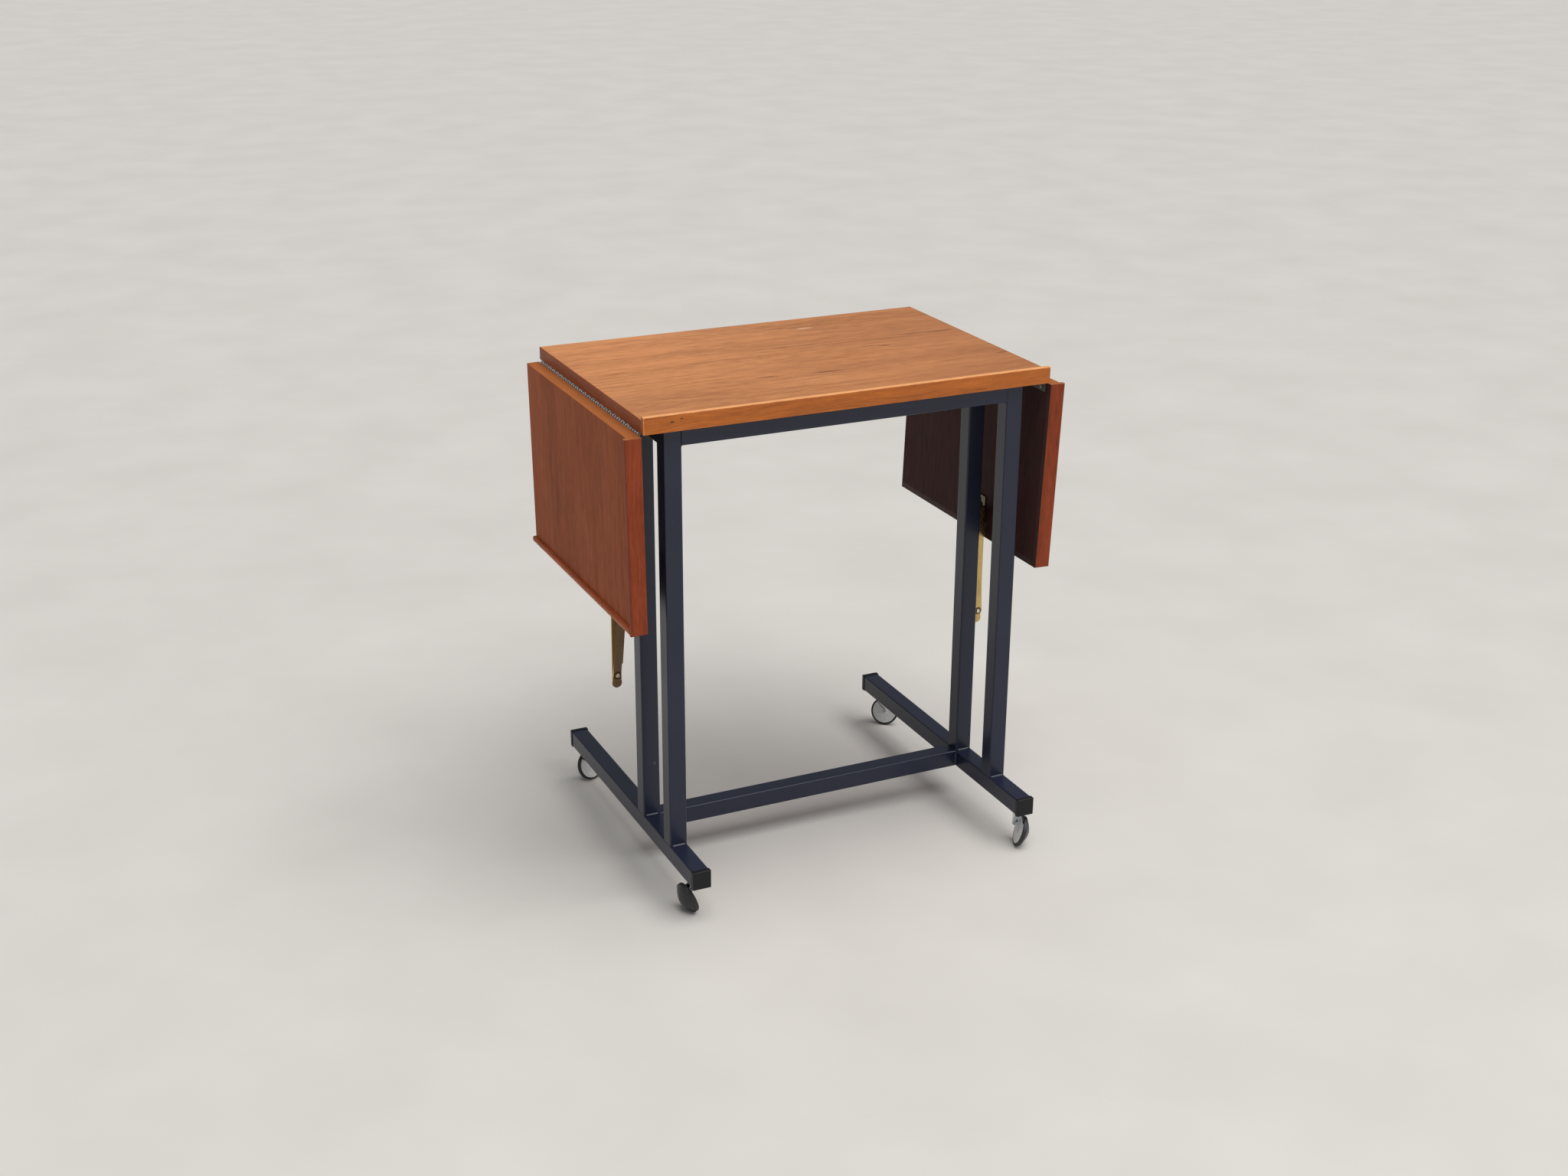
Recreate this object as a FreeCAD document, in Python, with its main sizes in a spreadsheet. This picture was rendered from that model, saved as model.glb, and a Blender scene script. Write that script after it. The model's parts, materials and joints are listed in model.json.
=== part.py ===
import FreeCAD, Part
import math
import os

import Sketcher
from FreeCAD import Placement, Rotation, Vector

# Drop-leaf serving trolley: wooden board and two hanging leaves on a welded
# square-tube frame with four disc casters.  Millimetres, +Z up, floor at z = 0,
# +X to the right along the front lip, +Y to the back.

doc = FreeCAD.newDocument("trolley")
sheet = doc.addObject("Spreadsheet::Sheet", "Dims")

DIMS = [
    # board and lips
    ("top_width", 596.0), ("top_front", -197.0), ("top_back", 197.0), ("board", 18.0), ("top_level", 693.0),
    ("lip_thick", 8.0), ("lip_rise", 5.0), ("lip_round", 2.2), ("board_round", 1.0),
    # tube frame
    ("tube", 25.0), ("wall", 1.5), ("tube_round", 2.0), ("frame_half", 265.5),
    ("front_post", -190.5), ("back_post", -91.5), ("rail_front", -266.0), ("rail_back", 211.0),
    ("rail_low", 52.0), ("top_rail_back", 168.0),
    ("cap_length", 7.0), ("cap_round", 1.1), ("cap_proud", 0.7), ("plug_length", 9.0), ("plug_play", 0.2),
    # leaves and strip hinges
    ("leaf_length", 268.0), ("leaf_back", 194.0), ("hinge_drop", 2.2), ("hinge_gap", 0.5),
    ("knuckle", 1.8), ("hinge_pin", 1.0), ("pin_play", 0.05), ("plate_thick", 1.0), ("plate_wide", 14.0),
    ("hinge_front", -192.0), ("hinge_pitch", 15.9), ("knuckle_gap", 1.2), ("tilt_right", 2.1), ("tilt_left", 0.7),
    ("screw_shank", 1.3), ("screw_head", 2.7), ("screw_proud", 0.5), ("screw_long", 9.0),
    # folding stays
    ("strap_half", 6.5), ("strap_thick", 2.5), ("strap_gap", 0.4), ("frame_arm", 169.0), ("leaf_arm", 157.0),
    ("tail", 12.5), ("tail_half", 7.0), ("pivot", 2.5), ("pivot_play", 0.06), ("stay_front", -66.0),
    ("frame_pivot_x", 275.5), ("frame_pivot_z_right", 458.02), ("frame_pivot_z_left", 457.294),
    ("leaf_pivot_in", 6.8), ("leaf_pivot_down", 227.0),
    ("frame_lean_right", 2.6747), ("frame_lean_left", 4.8632), ("leaf_lean_right", 0.0), ("leaf_lean_left", 0.3284),
    ("lug_thick", 2.0), ("flange_half", 20.0), ("lug_half", 7.5), ("rivet_head", 4.2), ("rivet_proud", 1.4),
    ("rivet_shank", 1.9), ("rivet_back", 9.0), ("rivet_spread", 14.0),
    # casters
    ("tread", 22.4), ("rim_wide", 6.2), ("rim_round", 1.5), ("wheel_lean", 18.0), ("wheel_out", 5.0),
    ("wheel_trail", 12.5), ("dome_edge", 20.5), ("dome_high", 12.0), ("dome_radius", 40.0), ("dome_tip", 4.2),
    ("recess", 20.1), ("recess_floor", -1.4), ("axle", 2.0), ("axle_play", 0.05), ("bore_end", 6.0),
    ("disc", 19.5), ("disc_thick", 1.0), ("stem", 4.0), ("stem_play", 0.05), ("stem_top", 70.0),
    ("socket", 6.0), ("socket_top", 68.0), ("socket_flange", 9.0), ("socket_flange_thick", 1.5),
    ("caster_inset_front", 17.0), ("caster_inset_back", 22.0), ("swivel_front_left", 189.0), ("swivel_back_left", 110.0),
    ("swivel_front_right", -22.0), ("swivel_back_right", 50.0),
    # place of the origin, under the middle of the whole object
    ("shift_x", 0.0136), ("shift_y", 33.0306),
]
for row, (alias, value) in enumerate(DIMS, start=1):
    sheet.set("A%d" % row, alias)
    sheet.set("B%d" % row, repr(value))
    sheet.setAlias("B%d" % row, alias)
doc.recompute()


def d(alias):
    return float(getattr(sheet, alias))


nodes = []


def keep(obj, label):
    obj.Label = label
    nodes.append(obj)
    return obj


def at(obj, x, y, z):
    # binds the place of a piece to the sheet, measured from the middle of the board on the floor
    obj.setExpression("Placement.Base.x", "Dims.shift_x + (%s)" % x)
    obj.setExpression("Placement.Base.y", "Dims.shift_y + (%s)" % y)
    obj.setExpression("Placement.Base.z", z)


def plane(body, role):
    return [f for f in body.Origin.OriginFeatures if f.Role == role][0]


def new_sketch(body, name, role):
    sk = body.newObject("Sketcher::SketchObject", name)
    sk.AttachmentSupport = [(plane(body, role), "")]
    sk.MapMode = "FlatFace"
    return sk


def outline(sk, corners, tag):
    # closed run of straight lines whose corners are bound to the sheet
    first = sk.GeometryCount
    values = [(evaluate(x), evaluate(y)) for x, y in corners]
    n = len(corners)
    for i in range(n):
        a, b = values[i], values[(i + 1) % n]
        sk.addGeometry(Part.LineSegment(Vector(a[0], a[1], 0), Vector(b[0], b[1], 0)), False)
    for i in range(n):
        sk.addConstraint(Sketcher.Constraint("Coincident", first + i, 2, first + (i + 1) % n, 1))
    for i, (x, y) in enumerate(corners):
        for kind, text, value in (("DistanceX", x, values[i][0]), ("DistanceY", y, values[i][1])):
            k = sk.addConstraint(Sketcher.Constraint(kind, first + i, 1, value))
            name = "%s%d%s" % (tag, i, kind[-1])
            sk.renameConstraint(k, name)
            sk.setExpression("Constraints." + name, text)


def evaluate(text):
    return float(sheet.evalExpression(text))


def rectangle(x0, x1, y0, y1):
    return [(x0, y0), (x1, y0), (x1, y1), (x0, y1)]


def long_edges(shape, axis, test):
    names = []
    for i, e in enumerate(shape.Edges, start=1):
        if len(e.Vertexes) != 2 or e.Curve.TypeId != "Part::GeomLine":
            continue
        run = e.Vertexes[1].Point - e.Vertexes[0].Point
        if abs(abs(run.normalize().dot(axis)) - 1) < 1e-6 and test(e.CenterOfMass):
            names.append("Edge%d" % i)
    return names


def rounded(body, base, names, radius):
    f = body.newObject("PartDesign::Fillet", body.Name + "_round")
    f.Base = (base, names)
    f.setExpression("Radius", radius)
    body.Tip = f
    return f


def prism(name, role, corners, length, round_axis=None, round_test=None, radius=None, both=False):
    # straight-sided piece: a drawn outline given a thickness, with some of its edges eased
    body = doc.addObject("PartDesign::Body", name)
    sk = new_sketch(body, name + "_outline", role)
    outline(sk, corners, "p")
    pad = body.newObject("PartDesign::Pad", name + "_pad")
    pad.Profile = sk
    pad.setExpression("Length", length)
    pad.Midplane = both
    body.Tip = pad
    doc.recompute()
    if radius:
        picked = []
        for axis, test in zip(round_axis, round_test):
            picked += long_edges(pad.Shape, axis, test)
        rounded(body, pad, picked, radius)
        doc.recompute()
    return body


X, Y, Z = Vector(1, 0, 0), Vector(0, 1, 0), Vector(0, 0, 1)
ALONG_Y = Rotation(X, -90)
ALONG_X = Rotation(Y, 90)


# ---------------------------------------------------------------- tubes

def tube(name, length, turn=None):
    body = doc.addObject("PartDesign::Body", name)
    sk = new_sketch(body, name + "_section", "XY_Plane")
    outline(sk, rectangle("-Dims.tube / 2", "Dims.tube / 2", "-Dims.tube / 2", "Dims.tube / 2"), "o")
    w = "Dims.tube / 2 - Dims.wall"
    outline(sk, rectangle("-(%s)" % w, w, "-(%s)" % w, w), "i")
    pad = body.newObject("PartDesign::Pad", name + "_pad")
    pad.Profile = sk
    pad.setExpression("Length", length)
    body.Tip = pad
    doc.recompute()
    half = d("tube") / 2
    names = long_edges(pad.Shape, Z, lambda c: abs(abs(c.x) - half) < 1e-6 and abs(abs(c.y) - half) < 1e-6)
    rounded(body, pad, names, "Dims.tube_round")
    if turn is not None:
        body.Placement = Placement(Vector(), turn)
    doc.recompute()
    return body


def cylinder(name, radius, height, x, y, z, turn=None):
    c = doc.addObject("Part::Cylinder", name)
    c.setExpression("Radius", radius)
    c.setExpression("Height", height)
    if turn is not None:
        c.Placement = Placement(Vector(), turn)
    at(c, x, y, z)
    return c


def group(name, members):
    g = doc.addObject("Part::Compound", name)
    g.Links = members
    return g


def cut(name, base, tool):
    c = doc.addObject("Part::Cut", name)
    c.Base = base
    c.Tool = tool
    return c


LEFT, RIGHT = "-(Dims.frame_half - Dims.tube / 2)", "Dims.frame_half - Dims.tube / 2"
POST_LOW = "Dims.rail_low + Dims.tube"
UNDER = "Dims.top_level - Dims.board"
FRONT_Y, BACK_Y = "Dims.front_post + Dims.tube / 2", "Dims.back_post + Dims.tube / 2"

for side, x in (("left", LEFT), ("right", RIGHT)):
    post = tube("front_%s_upright" % side, "Dims.top_level - Dims.board - Dims.rail_low - Dims.tube")
    at(post, x, FRONT_Y, POST_LOW)
    keep(post, "front_%s_upright" % side)
    post = tube("back_%s_upright_blank" % side, "Dims.top_level - Dims.board - Dims.rail_low - 2 * Dims.tube")
    at(post, x, BACK_Y, POST_LOW)
    # two holes through the outer wall for the rivets of the stay bracket
    start = "Dims.frame_half - 5" if side == "right" else "-(Dims.frame_half + 5)"
    holes = [cylinder("%s_rivet_hole_%s" % (side, tag), "Dims.rivet_shank + 0.1", "10", start,
                      "Dims.stay_front - 0.3 - Dims.lug_thick - Dims.rivet_back",
                      "Dims.frame_pivot_z_%s %s Dims.rivet_spread" % (side, sign), ALONG_X)
             for tag, sign in (("low", "-"), ("high", "+"))]
    keep(cut("back_%s_upright" % side, post, group("back_%s_upright_holes" % side, holes)), "back_%s_upright" % side)

# places of the screws that hold the board on the top rails
SCREW_PLACES = [("front_top_rail", "-150", FRONT_Y), ("front_top_rail", "150", FRONT_Y),
                ("left_top_rail", LEFT, "-20"), ("left_top_rail", LEFT, "120"),
                ("right_top_rail", RIGHT, "-20"), ("right_top_rail", RIGHT, "120")]


def drilled_rail(name, blank, holes):
    c = cut(name, blank, group(name + "_holes", holes))
    keep(c, name)


def screw_holes(rail):
    return [cylinder("%s_hole%d" % (rail, i), "2.6", "Dims.tube + 4", x, y,
                     "Dims.top_level - Dims.board - Dims.tube - 2")
            for i, (r, x, y) in enumerate(SCREW_PLACES) if r == rail]


blank = tube("front_top_rail_blank", "2 * (Dims.frame_half - Dims.tube)", ALONG_X)
at(blank, "-(Dims.frame_half - Dims.tube)", FRONT_Y, "Dims.top_level - Dims.board - Dims.tube / 2")
drilled_rail("front_top_rail", blank, screw_holes("front_top_rail"))
for side, x in (("left", LEFT), ("right", RIGHT)):
    blank = tube("%s_top_rail_blank" % side, "Dims.top_rail_back - Dims.front_post - Dims.tube", ALONG_Y)
    at(blank, x, "Dims.front_post + Dims.tube", "Dims.top_level - Dims.board - Dims.tube / 2")
    drilled_rail("%s_top_rail" % side, blank, screw_holes("%s_top_rail" % side))

CASTERS = [("front_left", LEFT, "Dims.rail_front + Dims.caster_inset_front"),
           ("back_left", LEFT, "Dims.rail_back - Dims.caster_inset_back"),
           ("front_right", RIGHT, "Dims.rail_front + Dims.caster_inset_front"),
           ("back_right", RIGHT, "Dims.rail_back - Dims.caster_inset_back")]
for side, x in (("left", LEFT), ("right", RIGHT)):
    blank = tube("%s_floor_rail_blank" % side, "Dims.rail_back - Dims.rail_front", ALONG_Y)
    at(blank, x, "Dims.rail_front", "Dims.rail_low + Dims.tube / 2")
    holes = [cylinder("%s_socket_hole" % n, "Dims.socket", "6", cx, cy, "Dims.rail_low - 3")
             for n, cx, cy in CASTERS if n.endswith(side)]
    drilled_rail("%s_floor_rail" % side, blank, holes)

bar = tube("floor_stretcher", "2 * (Dims.frame_half - Dims.tube)", ALONG_X)
at(bar, "-(Dims.frame_half - Dims.tube)", BACK_Y, "Dims.rail_low + Dims.tube / 2")
keep(bar, "floor_stretcher")


# ---------------------------------------------------------------- end caps

def end_cap(name, x, y, z, turn, proud):
    # rounded square head outside the tube, square plug inside it
    body = doc.addObject("PartDesign::Body", name)
    sk = new_sketch(body, name + "_head", "XY_Plane")
    edge = "Dims.tube / 2 + %s" % proud
    outline(sk, rectangle("-(%s)" % edge, edge, "-(%s)" % edge, edge), "h")
    head = body.newObject("PartDesign::Pad", name + "_head_pad")
    head.Profile = sk
    head.setExpression("Length", "Dims.cap_length")
    body.Tip = head
    doc.recompute()
    half, top = d("tube") / 2, d("cap_length")
    names = long_edges(head.Shape, Z, lambda c: True)
    names += long_edges(head.Shape, X, lambda c: abs(c.z - top) < 1e-6)
    names += long_edges(head.Shape, Y, lambda c: abs(c.z - top) < 1e-6)
    soft = rounded(body, head, names, "Dims.cap_round")
    sk = new_sketch(body, name + "_plug", "XY_Plane")
    w = "Dims.tube / 2 - Dims.wall - Dims.plug_play"
    outline(sk, rectangle("-(%s)" % w, w, "-(%s)" % w, w), "g")
    plug = body.newObject("PartDesign::Pad", name + "_plug_pad")
    plug.Profile = sk
    plug.setExpression("Length", "Dims.plug_length")
    plug.Reversed = True
    body.Tip = plug
    body.Placement = Placement(Vector(), turn)
    at(body, x, y, z)
    doc.recompute()
    return body


FACE_FRONT, FACE_BACK = Rotation(X, 90), Rotation(X, -90)
RAIL_MID, TOP_RAIL_MID = "Dims.rail_low + Dims.tube / 2", "Dims.top_level - Dims.board - Dims.tube / 2"
caps = []
for side, x in (("left", LEFT), ("right", RIGHT)):
    caps.append(end_cap("%s_front_cap" % side, x, "Dims.rail_front", RAIL_MID, FACE_FRONT, "Dims.cap_proud"))
    caps.append(end_cap("%s_back_cap" % side, x, "Dims.rail_back", RAIL_MID, FACE_BACK, "Dims.cap_proud"))
    caps.append(end_cap("%s_top_cap" % side, x, "Dims.top_rail_back", TOP_RAIL_MID, FACE_BACK, "0"))
keep(group("rail_end_caps", caps), "rail_end_caps")


# ---------------------------------------------------------------- board and its lip

HALF_W = d("top_width") / 2
panel = prism("top_panel", "XY_Plane",
              rectangle("-Dims.top_width / 2", "Dims.top_width / 2", "Dims.top_front", "Dims.top_back"),
              "Dims.board", (X, Y),
              (lambda c: c.y > 0, lambda c: c.z > 1), "Dims.board_round")
at(panel, "0", "0", UNDER)
keep(panel, "top_panel")

lip = prism("top_front_lip", "YZ_Plane",
            rectangle("Dims.top_front - Dims.lip_thick", "Dims.top_front", "0", "Dims.board + Dims.lip_rise"),
            "Dims.top_width", (X,), (lambda c: c.z > 1,), "Dims.lip_round", True)
at(lip, "0", "0", UNDER)
keep(lip, "top_front_lip")


def revolved(profile):
    # turns a closed run of (radius, height) points about Z
    wire = Part.makePolygon([Vector(r, 0, z) for r, z in profile] + [Vector(profile[0][0], 0, profile[0][1])])
    return Part.Face(wire).revolve(Vector(), Z, 360)


def moved(shape, base, turn=None):
    s = shape.copy()
    s.Placement = Placement(Vector(*base), turn or Rotation())
    return s


def feature(name, shape, place=None):
    f = doc.addObject("Part::Feature", name)
    f.Shape = shape
    f.Placement = place or Placement()
    return keep(f, name)


SHIFT = Vector(d("shift_x"), d("shift_y"), 0)

def slotted(shape, angle, wide, low, high):
    # cuts the driver slot into a screw that points along +Z, its head at the low end
    bar = Part.makeBox(20, wide, high - low, Vector(-10, -wide / 2, low))
    bar.rotate(Vector(), Z, angle)
    return shape.cut(bar)


# pan-head wood screws, driven up through the top rails into the board
screw = revolved([(0, -3.0), (2.6, -3.0), (4.6, -1.6), (4.6, 0.0), (2.5, 0.0), (2.5, d("tube") + 12.0), (0, d("tube") + 12.0)])
shapes = [moved(slotted(screw, 25 + 47 * k, 1.2, -4, -1.8), (evaluate(x), evaluate(y), d("top_level") - d("board") - d("tube")))
          for k, (r, x, y) in enumerate(SCREW_PLACES)]
feature("top_screws", Part.makeCompound(shapes), Placement(SHIFT, Rotation()))


# ---------------------------------------------------------------- leaves

PIN_X = d("top_width") / 2 + d("hinge_gap")
PIN_Z = d("top_level") - d("board") - d("hinge_drop")
TURN = {"right": Rotation(Y, d("tilt_right")), "left": Rotation(Y, -d("tilt_left"))}
SIGN = {"right": 1.0, "left": -1.0}
HANG_X = {"right": "Dims.top_width / 2 + Dims.hinge_gap", "left": "-(Dims.top_width / 2 + Dims.hinge_gap)"}
HANG_Z = "Dims.top_level - Dims.board - Dims.hinge_drop"


def hang(body, side):
    # each leaf piece is drawn about its hinge pin and hangs from it with a small lean
    body.Placement = Placement(Vector(), TURN[side])
    at(body, HANG_X[side], "0", HANG_Z)


def sided(side, a, b):
    if side == "right":
        return a, b
    return "-(%s)" % b, "-(%s)" % a


for side in ("left", "right"):
    sg = SIGN[side]
    x0, x1 = sided(side, "Dims.hinge_drop", "Dims.hinge_drop + Dims.board")
    low, high = "-(Dims.hinge_gap + Dims.leaf_length - Dims.lip_thick)", "-Dims.hinge_gap"
    b = prism("%s_leaf_panel" % side, "XY_Plane", rectangle(x0, x1, "Dims.top_front", "Dims.leaf_back"),
              "Dims.leaf_length - Dims.lip_thick", (Z,),
              (lambda c: c.y > 0 and abs(c.x) > 10,), "Dims.board_round")
    # the outline was drawn on the floor plane of the piece, so it is let down to its own level
    b.Placement = Placement(Vector(), TURN[side])
    run = "Dims.hinge_gap + Dims.leaf_length - Dims.lip_thick"
    lean = "Dims.tilt_right" if side == "right" else "-Dims.tilt_left"
    b.setExpression("Placement.Base.x", "Dims.shift_x + (%s) - (%s) * sin((%s) * 1deg)" % (HANG_X[side], run, lean))
    b.setExpression("Placement.Base.y", "Dims.shift_y")
    b.setExpression("Placement.Base.z", "(%s) - (%s) * cos((%s) * 1deg)" % (HANG_Z, run, lean))
    keep(b, "%s_leaf_panel" % side)

    x0, x1 = sided(side, "Dims.hinge_drop", "Dims.hinge_drop + Dims.board + Dims.lip_rise")
    b = prism("%s_leaf_front_lip" % side, "XZ_Plane",
              rectangle(x0, x1, "-(Dims.hinge_gap + Dims.leaf_length)", "-Dims.hinge_gap"),
              "Dims.lip_thick", (Z, X),
              (lambda c: abs(c.x) > 10, lambda c: c.z < -100), "Dims.lip_round")
    hang_y = "Dims.top_front"
    b.Placement = Placement(Vector(), TURN[side])
    at(b, HANG_X[side], hang_y, HANG_Z)
    keep(b, "%s_leaf_front_lip" % side)

    b = prism("%s_leaf_end_lip" % side, "XZ_Plane",
              rectangle(x0, x1, "-(Dims.hinge_gap + Dims.leaf_length)",
                        "-(Dims.hinge_gap + Dims.leaf_length - Dims.lip_thick)"),
              "Dims.leaf_back - Dims.top_front", (Y,), (lambda c: abs(c.x) > 10,), "Dims.lip_round")
    b.Placement = Placement(Vector(), TURN[side])
    at(b, HANG_X[side], "Dims.leaf_back", HANG_Z)
    keep(b, "%s_leaf_end_lip" % side)


# ---------------------------------------------------------------- strip hinges

PITCH, GAP = d("hinge_pitch"), d("knuckle_gap")
COUNT = int((d("leaf_back") - 4.0 - d("hinge_front")) / PITCH)
HINGE_BACK = d("hinge_front") + COUNT * PITCH
KN, DROP, THICK, WIDE = d("knuckle"), d("hinge_drop"), d("plate_thick"), d("plate_wide")


def barrel(y0, y1, hole):
    c = Part.makeCylinder(KN, y1 - y0, Vector(0, y0, 0), Y)
    return c.cut(Part.makeCylinder(hole, y1 - y0 + 2, Vector(0, y0 - 1, 0), Y))


def hinge_plate(sg, on_leaf):
    # flat plate beside the pin with every second knuckle rolled from it; drawn flat under
    # the board for the fixed half, and hanging against the leaf for the moving half
    def slab(u0, u1, y0, y1):
        # u runs away from the pin along the plate
        if on_leaf:
            a, b = sg * (DROP - THICK), sg * DROP
            return Part.makeBox(THICK, y1 - y0, u1 - u0, Vector(min(a, b), y0, -u1))
        a, b = -sg * u0, -sg * u1
        return Part.makeBox(u1 - u0, y1 - y0, THICK, Vector(min(a, b), y0, DROP - THICK))

    pieces = [slab(3.0, WIDE, d("hinge_front"), HINGE_BACK)]
    hole = d("hinge_pin") + (d("pin_play") if on_leaf else 0.0)
    for i in range(COUNT):
        y0 = d("hinge_front") + i * PITCH + (PITCH / 2 if on_leaf else 0.0)
        y0, y1 = y0 + GAP / 2, y0 + PITCH / 2 - GAP / 2
        pieces.append(slab(0.9, 3.5, y0, y1))
        pieces.append(barrel(y0, y1, hole))
    body = pieces[0].multiFuse(pieces[1:]).removeSplitter()
    bores = []
    for y in SCREW_YS:
        u = WIDE * 0.62
        if on_leaf:
            bores.append(Part.makeCylinder(d("screw_shank") + 0.1, 6, Vector(sg * (DROP - 3), y, -u), Vector(sg, 0, 0)))
        else:
            bores.append(Part.makeCylinder(d("screw_shank") + 0.1, 6, Vector(-sg * u, y, DROP - 3), Z))
    # keeps the bore of the knuckles free of the plate
    bores.append(Part.makeCylinder(hole, HINGE_BACK - d("hinge_front") + 2, Vector(0, d("hinge_front") - 1, 0), Y))
    return body.cut(Part.makeCompound(bores)).removeSplitter()


SCREW_YS = [d("hinge_front") + PITCH * (0.75 + 3 * k) for k in range((COUNT + 2) // 3)]
wood_screw = revolved([(0, -d("screw_proud")), (d("screw_head") * 0.7, -d("screw_proud")), (d("screw_head"), 0),
                       (d("screw_shank"), 0), (d("screw_shank"), d("screw_long") - 2), (0, d("screw_long"))])
top_screw_shapes = []
for side in ("left", "right"):
    sg = SIGN[side]
    pin = Vector(sg * PIN_X, 0, PIN_Z) + SHIFT
    feature("%s_hinge_top_plate" % side, hinge_plate(sg, False), Placement(pin, Rotation()))
    feature("%s_hinge_leaf_plate" % side, hinge_plate(sg, True), Placement(pin, TURN[side]))
    rod = Part.makeCylinder(d("hinge_pin"), HINGE_BACK - d("hinge_front"), Vector(0, d("hinge_front"), 0), Y)
    feature("%s_hinge_pin" % side, rod, Placement(pin, Rotation()))
    u = WIDE * 0.62
    inward = Rotation(Z, Vector(sg, 0, 0))
    slots = [slotted(wood_screw, 15 + 53 * k, 0.7, -1, -0.15) for k in range(len(SCREW_YS))]
    leaf_screws = [moved(s, (sg * (DROP - THICK), y, -u), inward) for s, y in zip(slots, SCREW_YS)]
    feature("%s_hinge_leaf_screws" % side, Part.makeCompound(leaf_screws), Placement(pin, TURN[side]))
    top_screw_shapes += [moved(s, (sg * (PIN_X - u), y, PIN_Z + DROP - THICK)) for s, y in zip(reversed(slots), SCREW_YS)]
feature("hinge_top_screws", Part.makeCompound(top_screw_shapes), Placement(SHIFT, Rotation()))


# ---------------------------------------------------------------- folding stays

ACROSS = Rotation(X, -90)  # cylinder axis along +Y


def strap(name, length, thick, half, extra, extra_half, holes, notch=None, tailed=False):
    # flat bar that hangs down from its pivot at the origin, with rounded ends
    parts = []
    b = doc.addObject("Part::Box", name + "_bar")
    b.setExpression("Length", "2 * %s" % half)
    b.setExpression("Width", thick)
    b.setExpression("Height", "%s + %s" % (length, extra))
    b.setExpression("Placement.Base.x", "-%s" % half)
    b.setExpression("Placement.Base.z", "-(%s + %s)" % (length, extra))
    parts.append(b)
    for tag, r, z in (("head", half, "0"), ("foot", extra_half, "-(%s + %s)" % (length, extra))):
        c = doc.addObject("Part::Cylinder", "%s_%s" % (name, tag))
        c.setExpression("Radius", r)
        c.setExpression("Height", thick)
        c.Placement = Placement(Vector(), ACROSS)
        c.setExpression("Placement.Base.z", z)
        parts.append(c)
    tools = []
    if tailed:
        # closed head of the elbow rivet behind the bar, and a shallow round mark on the front of its tail
        c = doc.addObject("Part::Cylinder", name + "_back_head")
        c.setExpression("Radius", "Dims.rivet_head")
        c.setExpression("Height", "1.2")
        c.Placement = Placement(Vector(), ACROSS)
        c.setExpression("Placement.Base.y", thick)
        c.setExpression("Placement.Base.z", "-(%s)" % length)
        parts.append(c)
        c = doc.addObject("Part::Cylinder", name + "_mark")
        c.setExpression("Radius", "1.5")
        c.setExpression("Height", "1.6")
        c.Placement = Placement(Vector(0, -1, 0), ACROSS)
        c.setExpression("Placement.Base.z", "-(%s + %s)" % (length, extra))
        tools.append(c)
    whole = doc.addObject("Part::MultiFuse", name + "_whole")
    whole.Shapes = parts
    for k, (z, r) in enumerate(holes):
        c = doc.addObject("Part::Cylinder", "%s_hole%d" % (name, k))
        c.setExpression("Radius", r)
        c.setExpression("Height", "%s + 2" % thick)
        c.Placement = Placement(Vector(0, -1, 0), ACROSS)
        c.setExpression("Placement.Base.z", z)
        tools.append(c)
    if notch:
        n = doc.addObject("Part::Box", name + "_notch")
        n.setExpression("Length", "4")
        n.setExpression("Width", "%s + 2" % thick)
        n.setExpression("Height", "30")
        n.setExpression("Placement.Base.x", notch)
        n.Placement.Base.y = -1
        n.setExpression("Placement.Base.z", "-(%s) - 13" % length)
        tools.append(n)
    return cut(name, whole, group(name + "_tools", tools))


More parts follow.
